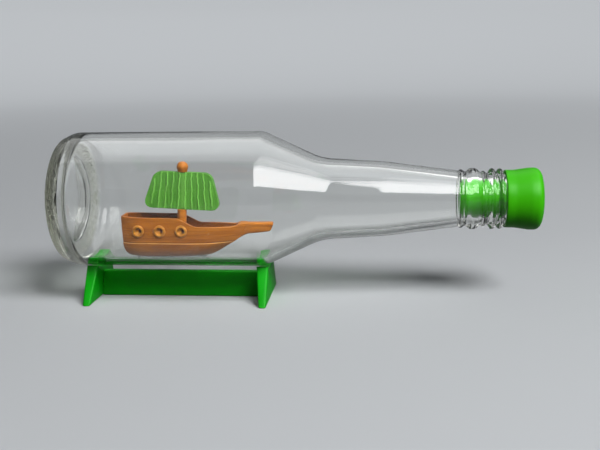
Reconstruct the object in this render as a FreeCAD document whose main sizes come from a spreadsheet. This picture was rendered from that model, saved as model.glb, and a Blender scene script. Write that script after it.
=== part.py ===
"""Ship in a bottle: a clear long-necked glass bottle lying on a saddle stand, with a toy ship inside.

Millimetres. X runs along the bottle from its base to its mouth, Y across it and Z up.
The origin is on the table, under the middle of the whole object.

The bottle is turned about its own axis and is measured from its base plane. The ship is
measured from its transom and the underside of its keel. The sail and what holds it are
measured along the raked mast. Every size is a cell of the sheet called Sizes.
"""
import FreeCAD, Part
import math
import os
import Sketcher
from FreeCAD import Placement, Rotation, Vector

# ---------------------------------------------------------------- driving sizes

SIZES = {
    # bottle: outside
    "bottle_length": 200.0,
    "axis_height": 45.8,
    "body_radius": 30.5,
    "heel_round": 7.75,
    "bearing_width": 1.5,
    "punt_depth": 4.0,
    "shoulder_start": 93.6,
    "shoulder_end": 119.6,
    "neck_root_radius": 18.3,
    "neck_bend": 148.0,
    "neck_bend_radius": 16.6,
    "neck_end": 179.8,
    "neck_end_radius": 12.45,
    "shoulder_round": 22.0,
    "neck_root_round": 26.0,
    # bottle: inside
    "glass_wall": 2.9,
    "inner_lean": 0.64,
    "base_glass": 5.0,
    "floor_dome": 2.6,
    "inner_heel_round": 8.0,
    "bore_radius": 8.7,
    "bore_start": 184.0,
    # finish: the rings round the mouth, placed back from the lip
    "lip_radius": 11.9,
    "lip_round": 0.6,
    "ring_root": 12.3,
    "collar_start": 20.1,
    "collar_width": 2.4,
    "collar_crown": 0.8,
    "collar_radius": 12.95,
    "bead_start": 16.8,
    "bead_width": 6.2,
    "bead_crown": 2.6,
    "bead_radius": 13.5,
    "ridge_start": 10.2,
    "ridge_width": 2.1,
    "ridge_crown": 0.7,
    "ridge_radius": 12.3,
    "valley_radius": 10.95,
    "valley_start": 8.1,
    "valley_width": 0.7,
    "ring_start": 7.1,
    "ring_width": 3.4,
    "ring_crown": 1.2,
    "ring_radius": 13.4,
    "lip_ring_start": 3.5,
    "lip_ring_width": 3.0,
    "lip_ring_crown": 1.0,
    "lip_ring_radius": 13.3,
    # stopper
    "stopper_fit": 0.05,
    "shank_length": 19.4,
    "shank_wall": 2.0,
    "shank_lead": 1.2,
    "shank_lead_fall": 0.6,
    "hollow_end": 6.0,
    "hollow_chamfer": 1.0,
    "head_length": 15.7,
    "head_radius": 12.7,
    "head_flare": 13.65,
    "head_straight": 4.0,
    "head_flare_length": 10.5,
    "head_edge_round": 3.1,
    "head_dome": 0.35,
    # stand
    "saddle_gap": 0.25,
    "cradle_left_place": 14.0,
    "cradle_right_place": 93.9,
    "cradle_foot_width": 40.0,
    "cradle_horn_width": 19.6,
    "cradle_height": 18.0,
    "cradle_foot_thick": 3.4,
    "cradle_top_thick": 5.6,
    "cradle_lean": 0.9,
    "horn_round": 1.4,
    "cradle_edge_round": 0.7,
    "stretcher_thick": 3.0,
    "stretcher_height": 12.3,
    "stretcher_edge_round": 0.9,
    "tenon_depth": 1.6,
    "tenon_low": 2.0,
    "tenon_tall": 8.0,
    "tenon_thick": 2.0,
    # ship: place in the bottle
    "ship_place": 27.9,
    "keel_height": 19.0,
    # ship: hull
    "seam": 7.2,
    "rail": 18.9,
    "waist": 14.8,
    "beam": 6.65,
    "seam_beam": 6.2,
    "keel_beam": 4.0,
    "transom": 4.0,
    "keel_transom": 2.6,
    "keel_start": 5.9,
    "seam_stern": 0.15,
    "keel_end": 40.2,
    "seam_bow": 52.0,
    "rail_bow": 57.8,
    "stern_run": 9.0,
    "bow_run": 18.0,
    "keel_bow_run": 15.0,
    "nose": 2.0,
    "seam_nose": 1.6,
    "keel_nose": 0.9,
    "hollow_floor": 2.0,
    "hollow_stern": 4.0,
    "hollow_bow": 38.0,
    "topside_wall": 1.1,
    "bottom_wall": 2.0,
    "seam_step": 0.3,
    "rail_step_start": 26.4,
    "rail_step_end": 34.5,
    "rail_step_reach": 1.4,
    "bow_rise_start": 50.9,
    "bow_rise_end": 55.3,
    "sheer_run": 24.0,
    "stern_lift": 0.7,
    "tub_bow": 56.0,
    "tub_rake": 7.8,
    "deck_thick": 1.0,
    "deck_fit": 0.06,
    "deck_nose": 1.5,
    # ship: bowsprit
    "sprit_top": 16.0,
    "sprit_end": 69.1,
    "sprit_width": 4.2,
    "sprit_root": 52.1,
    "sprit_root_low": 7.6,
    "sprit_knee": 55.6,
    "sprit_knee_low": 9.7,
    "sprit_neck": 60.0,
    "sprit_neck_low": 11.0,
    "sprit_knee_round": 6.5,
    "sprit_chin": 66.9,
    "sprit_chin_low": 11.8,
    "sprit_chin_round": 1.6,
    "sprit_tip_round": 0.8,
    "sprit_edge_round": 0.7,
    # ship: portholes
    "porthole_first": 8.4,
    "porthole_pitch": 9.9,
    "porthole_height": 12.9,
    "porthole_outer": 2.65,
    "porthole_bore": 1.4,
    "porthole_proud": 0.95,
    "porthole_seat": 0.4,
    "porthole_fit": 0.05,
    # ship: mast
    "mast_place": 26.5,
    "mast_rake": 3.0,
    "mast_radius": 2.1,
    "mast_foot": 2.2,
    "spindle_radius": 0.95,
    "deck_hole": 2.45,
    "step_thick": 3.6,
    "step_radius": 3.3,
    "step_floor": 0.6,
    "step_fit": 0.05,
    "ball_socket": 1.2,
    "ball_radius": 2.6,
    "ball_neck_radius": 2.25,
    "ball_neck": 0.8,
    # ship: sail, measured up the mast
    "sail_foot": 22.2,
    "sail_height": 17.0,
    "sail_foot_half": 18.1,
    "sail_head_half": 13.0,
    "sail_head_shift": 0.4,
    "sail_thick": 3.2,
    "sail_foot_round": 4.4,
    "sail_head_round": 3.2,
    "sail_edge_bevel": 0.8,
    "sail_fit": 0.08,
    "sail_play": 0.05,
    "rib_proud": 0.4,
    "rib_width": 0.6,
    "rib_margin": 0.9,
    "rib_foot_pitch": 3.15,
    "rib_head_pitch": 2.7,
    "end_rib_low": 2.2,
    "end_rib_high": 12.5,
    # adhesive under the keel
    "bed_start": 6.5,
    "bed_length": 32.0,
    "bed_half": 3.6,
}

RIBS = 10
LAST_RIB = (RIBS - 1) / 2
PORTHOLES_PER_SIDE = 3
BILGE_ANGLES = (0, 30, 60, 90)
TOPSIDE_LEVELS = (0.0, 0.35, 1.0)
FLARE_POWER = 3
TUCK_POWER = 2
PAST = 1.0
NEAR = 0.01
LONG_EDGE = 5.0

doc = FreeCAD.newDocument("ship_in_a_bottle")


def fill_sheet():
    """Write every driving size into the sheet, one alias a row."""
    sheet = doc.addObject("Spreadsheet::Sheet", "Sizes")
    for row, (name, value) in enumerate(SIZES.items(), start=1):
        sheet.set(f"A{row}", name)
        sheet.set(f"B{row}", str(value))
        sheet.setAlias(f"B{row}", name)
    doc.recompute()


class Size:
    """A length that knows both its value and the sheet formula it comes from."""

    def __init__(self, value, formula):
        self.value = value
        self.formula = formula

    def __add__(self, other):
        other = as_size(other)
        return Size(self.value + other.value, f"({self.formula} + {other.formula})")

    def __sub__(self, other):
        other = as_size(other)
        return Size(self.value - other.value, f"({self.formula} - {other.formula})")

    def __mul__(self, other):
        other = as_size(other)
        return Size(self.value * other.value, f"({self.formula} * {other.formula})")

    def __truediv__(self, other):
        other = as_size(other)
        return Size(self.value / other.value, f"({self.formula} / {other.formula})")

    def __rsub__(self, other):
        return as_size(other) - self

    def __neg__(self):
        return Size(-self.value, f"(-1 * {self.formula})")

    __radd__ = __add__
    __rmul__ = __mul__


def as_size(value):
    """A plain number becomes a size with no cell behind it."""
    if isinstance(value, Size):
        return value
    return Size(float(value), f"({value:.6f})")


def cell(name):
    """The size kept in one cell of the sheet."""
    return Size(SIZES[name], f"Sizes.{name}")


def root(size):
    return Size(math.sqrt(size.value), f"sqrt({size.formula})")


def arc_radius(run, rise):
    """Radius of an arc that starts level and climbs `rise` over `run`."""
    return (run * run + rise * rise) / (2 * rise)


# ---------------------------------------------------------------- modelling helpers

def bind(thing, field, size):
    """Drive a property by the sheet."""
    thing.setExpression(field, as_size(size).formula)


def new_body(name):
    body = doc.addObject("PartDesign::Body", name)
    body.Label = name
    return body


def plane(body, role):
    return next(f for f in body.Origin.OriginFeatures if f.Role == role)


def new_sketch(body, name, role, offset=0):
    """An empty sketch on one of the body's own planes, moved out along its normal."""
    sketch = body.newObject("Sketcher::SketchObject", name)
    sketch.AttachmentSupport = (plane(body, role), [""])
    sketch.MapMode = "FlatFace"
    offset = as_size(offset)
    if offset.value:
        sketch.AttachmentOffset = Placement(Vector(0, 0, offset.value), Rotation())
        bind(sketch, "AttachmentOffset.Base.z", offset)
    return sketch


def place_point(sketch, line, end, x, y):
    """Dimension one end of a line or arc from the sketch's origin."""
    for kind, size, axis in (("DistanceX", as_size(x), -2), ("DistanceY", as_size(y), -1)):
        if size.value == 0:
            sketch.addConstraint(Sketcher.Constraint("PointOnObject", line, end, axis))
            continue
        index = sketch.addConstraint(Sketcher.Constraint(kind, -1, 1, line, end, size.value))
        sketch.setExpression(f"Constraints[{index}]", size.formula)


def arc_between(start, end, radius, turn):
    """The short arc from start to end; turn is +1 to the left and -1 to the right."""
    chord = end - start
    half = chord.Length / 2
    reach = math.sqrt(max(radius * radius - half * half, 0))
    normal = Vector(-chord.y, chord.x, 0).normalize()
    centre = (start + end) * 0.5 + normal * reach * turn
    first, last = (start, end) if turn > 0 else (end, start)
    angles = [math.atan2(p.y - centre.y, p.x - centre.x) for p in (first, last)]
    if angles[1] < angles[0]:
        angles[1] += 2 * math.pi
    return Part.ArcOfCircle(Part.Circle(centre, Vector(0, 0, 1), radius), angles[0], angles[1])


def draw_outline(sketch, steps):
    """Close an outline through steps of (x, y) for a line or (x, y, radius, turn) for an arc."""
    ends = [Vector(as_size(s[0]).value, as_size(s[1]).value, 0) for s in steps]
    base = sketch.GeometryCount
    starts_at = []
    ends_at = []
    for i, step in enumerate(steps):
        start, end = ends[i - 1], ends[i]
        if len(step) == 2:
            sketch.addGeometry(Part.LineSegment(start, end), False)
            turn = 1
        else:
            turn = step[3]
            sketch.addGeometry(arc_between(start, end, as_size(step[2]).value, turn), False)
        starts_at.append(1 if turn > 0 else 2)
        ends_at.append(2 if turn > 0 else 1)
    for i, step in enumerate(steps):
        here = base + i
        after = (i + 1) % len(steps)
        sketch.addConstraint(
            Sketcher.Constraint("Coincident", here, ends_at[i], base + after, starts_at[after]))
        place_point(sketch, here, ends_at[i], step[0], step[1])
        if len(step) == 4:
            radius = as_size(step[2])
            index = sketch.addConstraint(Sketcher.Constraint("Radius", here, radius.value))
            sketch.setExpression(f"Constraints[{index}]", radius.formula)
    return sketch


def outline(body, name, role, steps, offset=0):
    return draw_outline(new_sketch(body, name, role, offset), steps)


def draw_circle(sketch, x, y, radius):
    radius = as_size(radius)
    centre = Vector(as_size(x).value, as_size(y).value, 0)
    line = sketch.addGeometry(Part.Circle(centre, Vector(0, 0, 1), radius.value), False)
    place_point(sketch, line, 3, x, y)
    index = sketch.addConstraint(Sketcher.Constraint("Radius", line, radius.value))
    sketch.setExpression(f"Constraints[{index}]", radius.formula)
    return sketch


def pad(body, name, sketch, length, both_ways=False, reverse=False):
    feature = body.newObject("PartDesign::Pad", name)
    feature.Profile = sketch
    bind(feature, "Length", length)
    feature.Midplane = both_ways
    feature.Reversed = reverse
    return finish_feature(body, feature)


def pocket(body, name, sketch, length, both_ways=False, reverse=False):
    """Cut a sketch out of the body and make sure that it cut something."""
    before = body.Shape.Volume
    feature = body.newObject("PartDesign::Pocket", name)
    feature.Profile = sketch
    feature.Midplane = both_ways
    feature.Reversed = reverse
    bind(feature, "Length", length)
    finish_feature(body, feature)
    if body.Shape.Volume > before - NEAR:
        raise ValueError(f"{name} cut nothing")
    return feature


def turned(body, name, sketch, axis="H_Axis"):
    """Revolve a sketch round one of its own axes, the level one unless V_Axis is asked for."""
    feature = body.newObject("PartDesign::Revolution", name)
    feature.Profile = sketch
    feature.ReferenceAxis = (sketch, [axis])
    feature.Angle = 360
    return finish_feature(body, feature)


def lofted(body, name, sections, subtract=False):
    kind = "PartDesign::SubtractiveLoft" if subtract else "PartDesign::AdditiveLoft"
    feature = body.newObject(kind, name)
    feature.Profile = sections[0]
    feature.Sections = sections[1:]
    return finish_feature(body, feature)


def rounded(body, name, radius, chosen):
    """Round the edges of the body's tip that the function `chosen` picks."""
    base = body.Tip
    edges = [f"Edge{i}" for i, edge in enumerate(base.Shape.Edges, 1) if chosen(edge)]
    if not edges:
        raise ValueError(f"{name} found no edge")
    feature = body.newObject("PartDesign::Fillet", name)
    feature.Base = (base, edges)
    bind(feature, "Radius", radius)
    return finish_feature(body, feature)


def chamfered(body, name, size, chosen):
    """Bevel the edges of the body's tip that the function `chosen` picks."""
    base = body.Tip
    edges = [f"Edge{i}" for i, edge in enumerate(base.Shape.Edges, 1) if chosen(edge)]
    feature = body.newObject("PartDesign::Chamfer", name)
    feature.Base = (base, edges)
    bind(feature, "Size", size)
    return finish_feature(body, feature)


def finish_feature(body, feature):
    """Make the feature the body's newest one, and stop if it failed."""
    body.Tip = feature
    doc.recompute()
    if "Invalid" in feature.State or feature.Shape.isNull():
        raise ValueError(f"{feature.Name} failed: {feature.getStatusString()}")
    return feature


def is_ring(edge, x, radius):
    """True for a full circle round the X axis at this place and size."""
    if edge.Degenerated or not isinstance(edge.Curve, Part.Circle):
        return False
    curve = edge.Curve
    return abs(curve.Center.x - x) < NEAR and abs(curve.Radius - radius) < NEAR


def ends_of(edge):
    """Both ends of an open edge, or None for a closed one."""
    if len(edge.Vertexes) < 2:
        return None
    return edge.Vertexes[0].Point, edge.Vertexes[1].Point


def stand_at(body, x=0, y=0, z=0):
    """Place a body in the object's frame."""
    for axis, size in (("x", x), ("y", y), ("z", z)):
        if as_size(size).value:
            bind(body, f"Placement.Base.{axis}", size)
    doc.recompute()
    return body


def bottle_origin():
    """X of the base plane: half the whole length behind the origin."""
    return -(cell("bottle_length") + cell("head_length") + cell("head_dome")) / 2


# ---------------------------------------------------------------- bottle

def bottle():
    """A blown bottle: thick punted base, straight body, long tapered neck and ringed mouth."""
    body = new_body("bottle")
    sketch = outline(body, "bottle_wall", "XZ_Plane", outer_glass() + inner_glass())
    turned(body, "bottle_turned", sketch)
    shoulder = {
        "shoulder": (cell("shoulder_start"), cell("body_radius"), cell("shoulder_round")),
        "neck_root": (cell("shoulder_end"), cell("neck_root_radius"), cell("neck_root_round")),
    }
    for name, (place, radius, size) in shoulder.items():
        rounded(body, f"{name}_outside", size,
                lambda e, p=place, r=radius: is_ring(e, p.value, r.value))
    lean = cell("inner_lean")
    for name, (place, radius, size) in shoulder.items():
        rounded(body, f"{name}_inside", size, lambda e, p=place - lean, r=radius - cell("glass_wall"):
                is_ring(e, p.value, r.value))
    return stand_at(body, bottle_origin(), 0, cell("axis_height"))


def outer_glass():
    """The outside of the glass, from the middle of the base to the mouth."""
    length = cell("bottle_length")
    radius = cell("body_radius")
    heel = cell("heel_round")
    bearing = radius - heel
    punt_rim = bearing - cell("bearing_width")
    punt = cell("punt_depth")
    punt_round = arc_radius(punt_rim, punt)
    steps = [
        (punt, 0),
        (0, punt_rim, punt_round, 1),
        (0, bearing),
        (heel, radius, heel, -1),
        (cell("shoulder_start"), radius),
        (cell("shoulder_end"), cell("neck_root_radius")),
        (cell("neck_bend"), cell("neck_bend_radius")),
        (cell("neck_end"), cell("neck_end_radius")),
    ]
    for ring in ("collar", "bead", "ridge"):
        steps += ring_steps(ring)
    valley = length - cell("valley_start")
    steps.append((valley, cell("valley_radius")))
    steps.append((valley + cell("valley_width"), cell("valley_radius")))
    for ring in ("ring", "lip_ring"):
        steps += ring_steps(ring)
    steps.append((length, cell("lip_radius")))
    return steps


def ring_steps(ring):
    """One ring of the finish: a slanted flank up to a flat crown, and another down again."""
    start = cell("bottle_length") - cell(f"{ring}_start")
    end = start + cell(f"{ring}_width")
    flank = (cell(f"{ring}_width") - cell(f"{ring}_crown")) / 2
    return [
        (start, cell("ring_root")),
        (start + flank, cell(f"{ring}_radius")),
        (end - flank, cell(f"{ring}_radius")),
        (end, cell("ring_root")),
    ]


def inner_glass():
    """The inside of the glass, from the mouth back to the middle of the base."""
    length = cell("bottle_length")
    wall = cell("glass_wall")
    lean = cell("inner_lean")
    bore = cell("bore_radius")
    lip = cell("lip_round")
    heel = cell("inner_heel_round")
    floor_rim = cell("body_radius") - wall - heel
    floor_top = cell("punt_depth") + cell("base_glass")
    dome = cell("floor_dome")
    return [
        (length, bore + lip),
        (length - lip, bore, lip, -1),
        (cell("bore_start"), bore),
        (cell("neck_bend") - lean, cell("neck_bend_radius") - wall),
        (cell("shoulder_end") - lean, cell("neck_root_radius") - wall),
        (cell("shoulder_start") - lean, cell("body_radius") - wall),
        (floor_top - dome + heel, cell("body_radius") - wall),
        (floor_top - dome, floor_rim, heel, 1),
        (floor_top, 0, arc_radius(floor_rim, dome), -1),
    ]


# ---------------------------------------------------------------- stopper

def stopper():
    """A moulded stopper: a flared domed head, and a hollow shank that fills the bore."""
    body = new_body("stopper")
    length = cell("head_length")
    shank = cell("shank_length")
    radius = cell("bore_radius") - cell("stopper_fit")
    flare = cell("head_flare")
    edge = cell("head_edge_round")
    dome = cell("head_dome")
    rise = flare - cell("head_radius")
    run = cell("head_flare_length") - cell("head_straight")
    lead = cell("shank_lead")
    hollow = radius - cell("shank_wall")
    hollow_end = cell("hollow_end")
    reach = flare - edge
    steps = [
        (length + dome, 0, arc_radius(reach, dome), -1),
        (hollow_end, 0),
        (hollow_end, hollow - cell("hollow_chamfer")),
        (hollow_end - cell("hollow_chamfer"), hollow),
        (-shank, hollow),
        (-shank, radius - cell("shank_lead_fall")),
        (lead - shank, radius),
        (0, radius),
        (0, cell("head_radius")),
        (cell("head_straight"), cell("head_radius")),
        (cell("head_flare_length"), flare, arc_radius(run, rise), -1),
        (length - edge, flare),
        (length, flare - edge, edge, -1),
    ]
    sketch = outline(body, "stopper_profile", "XZ_Plane", steps)
    turned(body, "stopper_turned", sketch)
    return stand_at(body, bottle_origin() + cell("bottle_length"), 0, cell("axis_height"))


# ---------------------------------------------------------------- stand

def cradle(name, place, inward):
    """One end of the stand: a plate with splayed feet, which thickens inwards, and a round saddle."""
    body = new_body(name)
    foot = cell("cradle_foot_thick") / 2
    top = cell("cradle_top_thick") / 2
    lean = cell("cradle_lean")
    height = cell("cradle_height")
    width = cell("cradle_foot_width")
    half = width / 2
    slab = [(foot, 0), (top + lean, height), (lean - top, height), (-foot, 0)]
    plate = outline(body, f"{name}_slab", "XZ_Plane", [(x * inward, z) for x, z in slab])
    pad(body, f"{name}_plate", plate, width, both_ways=True)
    horn = cell("cradle_horn_width") / 2
    horn_top = height_of_horn()
    above = height + PAST
    inset = half - (half - horn) * above / horn_top
    sides = new_sketch(body, f"{name}_splay", "YZ_Plane")
    for side in (1, -1):
        draw_outline(sides, [(side * half, 0), (side * (half + PAST), above), (side * inset, above)])
    pocket(body, f"{name}_sides", sides, 3 * cell("cradle_top_thick"), both_ways=True)
    saddle = draw_circle(new_sketch(body, f"{name}_saddle", "YZ_Plane"), 0, cell("axis_height"),
                         saddle_radius())
    pocket(body, f"{name}_seat", saddle, 3 * cell("cradle_top_thick"), both_ways=True)
    rounded(body, f"{name}_horns", cell("horn_round"),
            lambda e: is_horn_tip(e, horn_top.value, horn.value))
    rounded(body, f"{name}_rim", cell("cradle_edge_round"), lambda e: is_side_edge(e, horn.value))
    mortise = outline(body, f"{name}_mortise", "XZ_Plane", tenon_outline(inward))
    pocket(body, f"{name}_socket", mortise, cell("tenon_thick"), both_ways=True)
    return stand_at(body, bottle_origin() + place)


def saddle_radius():
    return cell("body_radius") + cell("saddle_gap")


def height_of_horn():
    """Where the saddle ends at the top of each horn."""
    horn = cell("cradle_horn_width") / 2
    return cell("axis_height") - root(saddle_radius() * saddle_radius() - horn * horn)


def is_horn_tip(edge, height, horn):
    """The crosswise edge at the top of each horn, where the saddle meets the splayed side."""
    ends = ends_of(edge)
    if ends is None:
        return False
    first, last = ends
    level = abs(first.z - height) < NEAR and abs(last.z - height) < NEAR
    return level and abs(first.y - last.y) < NEAR and abs(abs(first.y) - horn) < NEAR


def is_side_edge(edge, horn):
    """The long slanted edges down the sides; the smooth rim goes on from them over the horns."""
    ends = ends_of(edge)
    if ends is None or not isinstance(edge.Curve, Part.Line):
        return False
    first, last = ends
    outside = min(abs(first.y), abs(last.y)) > horn - PAST
    return outside and abs(first.z - last.z) > LONG_EDGE


def inner_face_at(height):
    """How far the inner face of a cradle stands from the middle of its foot, at this height."""
    foot = cell("cradle_foot_thick") / 2
    top = cell("cradle_top_thick") / 2 + cell("cradle_lean")
    return foot + (top - foot) * as_size(height) / cell("cradle_height")


def tenon_outline(inward):
    """The tenon's side view, from the middle of a cradle; inward is +1 or -1 along X."""
    low = cell("tenon_low")
    high = low + cell("tenon_tall")
    blind = inner_face_at(low) - cell("tenon_depth")
    corners = [(blind, low), (inner_face_at(low), low), (inner_face_at(high), high), (blind, high)]
    return [(x * inward, z) for x, z in corners]


def stretcher():
    """The upright panel that joins the cradles, with a blind tenon at each end."""
    body = new_body("stretcher")
    left = cell("cradle_left_place")
    right = cell("cradle_right_place")
    top = cell("stretcher_height")
    panel = outline(body, "stretcher_panel", "XZ_Plane", [
        (left + inner_face_at(0), 0),
        (right - inner_face_at(0), 0),
        (right - inner_face_at(top), top),
        (left + inner_face_at(top), top),
    ])
    pad(body, "stretcher_web", panel, cell("stretcher_thick"), both_ways=True)
    rounded(body, "stretcher_top", cell("stretcher_edge_round"), lambda e: is_top_edge(e, top.value))
    tenons = new_sketch(body, "stretcher_tenons", "XZ_Plane")
    for place, inward in ((left, 1), (right, -1)):
        draw_outline(tenons, [(place + x, z) for x, z in tenon_outline(inward)])
    pad(body, "stretcher_ends", tenons, cell("tenon_thick"), both_ways=True)
    return stand_at(body, bottle_origin())


def is_top_edge(edge, top):
    """The two long edges along the top of the panel."""
    ends = ends_of(edge)
    if ends is None:
        return False
    first, last = ends
    level = abs(first.z - top) < NEAR and abs(last.z - top) < NEAR
    return level and abs(first.x - last.x) > LONG_EDGE


# ---------------------------------------------------------------- hull

def boat_outline(body, name, level, stern, bow, beam, transom, nose, stern_run, bow_run):
    """The ship's outline seen from above at one level: square stern, full sides, narrow bow."""
    shoulder = stern + stern_run
    entry = bow - bow_run
    quarter = arc_radius(as_size(stern_run), beam - transom)
    cheek = arc_radius(as_size(bow_run), beam - nose)
    return outline(body, name, "XY_Plane", [
        (bow, nose),
        (entry, beam, cheek, 1),
        (shoulder, beam),
        (stern, transom, quarter, 1),
        (stern, -transom),
        (shoulder, -beam, quarter, 1),
        (entry, -beam),
        (bow, -nose, cheek, 1),
    ], level)


def bottom_section(body, name, angle):
    """One level of the bottom, which is a quarter of an ellipse from the flat keel to the seam."""
    depth = 1 - math.cos(math.radians(angle))
    fullness = math.sin(math.radians(angle))
    side = cell("seam_beam") + cell("seam_step")

    def between(low, high, share):
        return low + (high - low) * share

    return boat_outline(
        body, name, cell("seam") * depth,
        between(cell("keel_start"), cell("seam_stern"), fullness),
        between(cell("keel_end"), cell("seam_bow"), depth),
        between(cell("keel_beam"), side, fullness),
        between(cell("keel_transom"), cell("transom"), fullness),
        between(cell("keel_nose"), cell("seam_nose"), depth),
        cell("stern_run"),
        between(cell("keel_bow_run"), cell("bow_run"), depth))


def hull_bottom():
    """The bottom of the hull: round bilges, a flat keel, a raked stem, and hollow under the deck."""
    body = new_body("hull_bottom")
    seam = cell("seam")
    sections = [bottom_section(body, f"bottom_outline_{angle}", angle) for angle in BILGE_ANGLES]
    lofted(body, "bottom_form", sections)
    wall = cell("bottom_wall")
    hollow = boat_outline(
        body, "bottom_hollow", seam, cell("hollow_stern"), cell("hollow_bow"),
        cell("seam_beam") - wall, cell("transom") - wall, cell("seam_nose"),
        cell("stern_run"), cell("bow_run") - wall)
    pocket(body, "bottom_inside", hollow, seam - cell("hollow_floor"))
    return place_in_ship(body)


def topside_section(body, name, level, share, shrink=0):
    """One level of the topsides; share is 0 at the seam and 1 at the rail."""
    beam = cell("seam_beam") + (cell("beam") - cell("seam_beam")) * share - shrink
    transom = cell("transom") - shrink
    stern = (cell("seam_stern") + cell("seam_step")) * (1 - share) ** TUCK_POWER + shrink
    flare = 1 - (1 - share) ** FLARE_POWER
    bow = cell("seam_bow") + (cell("rail_bow") - cell("seam_bow")) * flare
    if as_size(shrink).value:
        bow = cell("tub_bow") - cell("tub_rake") * (1 - share)
    nose = cell("seam_nose") + (cell("nose") - cell("seam_nose")) * share
    return boat_outline(body, name, level, stern, bow, beam, transom, nose,
                        cell("stern_run"), cell("bow_run") - shrink)


def hull_topsides():
    """The sides of the ship: an open tub with a raised after part, and its bowsprit."""
    body = new_body("hull_topsides")
    seam = cell("seam")
    top = cell("rail") + PAST
    pad(body, "bowsprit", bowsprit_sketch(body), cell("sprit_width"), both_ways=True)
    rounded(body, "bowsprit_edges", cell("sprit_edge_round"), is_sprit_edge)
    outside = [topside_section(body, f"topside_outline_{i}", seam + (top - seam) * share, share)
               for i, share in enumerate(TOPSIDE_LEVELS)]
    lofted(body, "topside_form", outside)
    pocket(body, "sheer", sheer_sketch(body, top), 4 * cell("beam"), both_ways=True)
    wall = cell("topside_wall")
    inside = [topside_section(body, f"tub_outline_{i}", seam + (top - seam) * share, share, wall)
              for i, share in enumerate(TOPSIDE_LEVELS)]
    lofted(body, "tub", inside, subtract=True)
    for side in (1, -1):
        porthole_seats(body, side)
    return place_in_ship(body)


def bowsprit_sketch(body):
    """Side view of the bowsprit, which grows out of the bow."""
    tip = cell("sprit_end")
    top = cell("sprit_top")
    chin = cell("sprit_chin_round")
    end = cell("sprit_tip_round")
    return outline(body, "bowsprit_side", "XZ_Plane", [
        (cell("sprit_root"), top),
        (cell("sprit_root"), cell("sprit_root_low")),
        (cell("sprit_knee"), cell("sprit_knee_low")),
        (cell("sprit_neck"), cell("sprit_neck_low"), cell("sprit_knee_round"), -1),
        (cell("sprit_chin"), cell("sprit_chin_low")),
        (tip - end, cell("sprit_chin_low") + end, chin, 1),
        (tip, top - end),
        (tip - end, top, end, 1),
    ])


def is_sprit_edge(edge):
    """The edges that run round both sides of the bowsprit, past the hidden root."""
    ends = ends_of(edge)
    if ends is None:
        return False
    first, last = ends
    forward = max(first.x, last.x) > SIZES["sprit_root"] + NEAR
    return forward and abs(first.y - last.y) < NEAR


def sheer_sketch(body, top):
    """What is cut away above the rail: the step down to the waist and the rise to the bow."""
    rail = cell("rail")
    waist = cell("waist")
    sprit = cell("sprit_top")
    step_start = cell("rail_step_start")
    step_end = cell("rail_step_end")
    rise_start = cell("bow_rise_start")
    rise_end = cell("bow_rise_end")
    run = step_end - step_start
    drop = rail - waist
    slant = root(run * run + drop * drop)
    reach = cell("rail_step_reach")
    along = reach * run / slant
    down = reach * drop / slant
    step_round = reach * (slant + run) / drop
    rise_mid = (rise_start + rise_end) / 2
    rise_round = arc_radius(rise_mid - rise_start, (sprit - waist) / 2)
    lift = cell("stern_lift")
    sheer = cell("sheer_run")
    return outline(body, "sheer_line", "XZ_Plane", [
        (-PAST, top + PAST),
        (-PAST, rail + lift),
        (sheer - PAST, rail, arc_radius(sheer, lift), 1),
        (step_start - reach, rail),
        (step_start + along, rail - down, step_round, -1),
        (step_end - along, waist + down),
        (step_end + reach, waist, step_round, 1),
        (rise_start, waist),
        (rise_mid, (waist + sprit) / 2, rise_round, 1),
        (rise_end, sprit, rise_round, -1),
        (cell("sprit_end") + PAST, sprit),
        (cell("sprit_end") + PAST, top + PAST),
    ])


def wall_at_porthole():
    """Half the breadth of the topsides where the portholes are."""
    share = (cell("porthole_height") - cell("seam")) / (cell("rail") + PAST - cell("seam"))
    return cell("seam_beam") + (cell("beam") - cell("seam_beam")) * share


def porthole_seats(body, side):
    """A flat seat and a hole through the side for each porthole."""
    hand = "port" if side > 0 else "starboard"
    seat_depth = wall_at_porthole() - cell("porthole_seat")
    cuts = {
        "seat": (cell("porthole_outer") + cell("porthole_fit"), seat_depth),
        "hole": (cell("porthole_bore"), seat_depth - 2 * cell("topside_wall")),
    }
    for use, (radius, start) in cuts.items():
        sketch = new_sketch(body, f"porthole_{use}_{hand}", "XZ_Plane", -side * start)
        for i in range(PORTHOLES_PER_SIDE):
            x = cell("porthole_first") + i * cell("porthole_pitch")
            draw_circle(sketch, x, cell("porthole_height"), radius)
        pocket(body, f"porthole_{use}s_{hand}", sketch, 3 * cell("topside_wall"), reverse=side < 0)


def porthole(name, side, number):
    """A turned ring with a bevelled face, glued into its seat round a hole in the side."""
    body = new_body(name)
    outer = cell("porthole_outer")
    bore = cell("porthole_bore")
    face = cell("porthole_proud") + cell("porthole_seat")
    crest = (outer + bore) / 2
    bevel = (outer - bore) / 2
    sketch = outline(body, f"{name}_profile", "XZ_Plane", [
        (0, bore),
        (0, outer),
        (face - bevel, outer),
        (face, crest),
        (face - bevel, bore),
    ])
    turned(body, f"{name}_turned", sketch)
    body.Placement = Placement(Vector(0, 0, 0), Rotation(Vector(0, 0, 1), 90 * side))
    x = cell("porthole_first") + number * cell("porthole_pitch")
    seat = wall_at_porthole() - cell("porthole_seat")
    return place_in_ship(body, x, side * seat, cell("porthole_height"))


def place_in_ship(body, x=0, y=0, z=0):
    """Place a body that is measured from the transom and the keel."""
    ship_x = bottle_origin() + cell("ship_place") + x
    return stand_at(body, ship_x, y, cell("keel_height") + z)


# ---------------------------------------------------------------- deck and mast

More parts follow.
